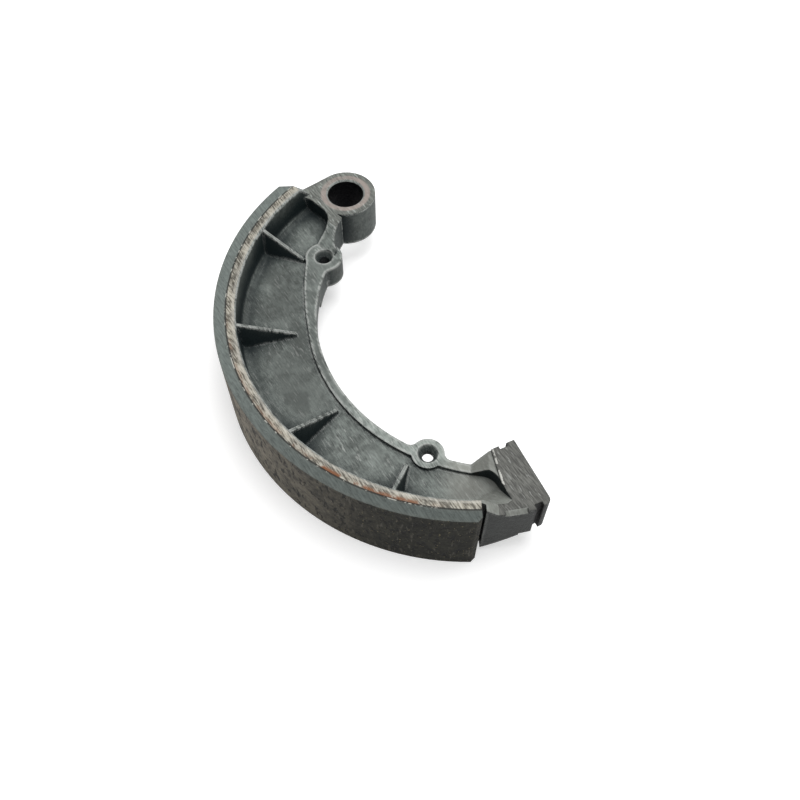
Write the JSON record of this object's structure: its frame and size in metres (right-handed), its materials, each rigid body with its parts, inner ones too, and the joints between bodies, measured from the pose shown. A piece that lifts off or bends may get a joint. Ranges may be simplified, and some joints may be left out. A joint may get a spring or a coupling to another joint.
{
  "type": "brake shoe",
  "caption": "Drum brake shoe: cast aluminium T-section arc with pivot boss, spring ears, cam-end block and a bonded friction lining.",
  "frame": {"origin": "on the drum axis, in the plane of the rim edge that the shoe lies on", "axes": "+Z along the drum axis, +X towards the cam end, the middle of the shoe towards -Y"},
  "size_m": [0.1856, 0.0957, 0.036],
  "materials": {
    "casting": "cast, stained, scratched",
    "lining": "matte, pitted"
  },
  "bodies": {
    "root": {"shoe_casting": "casting", "friction_lining": "lining"}
  },
  "joints": []
}
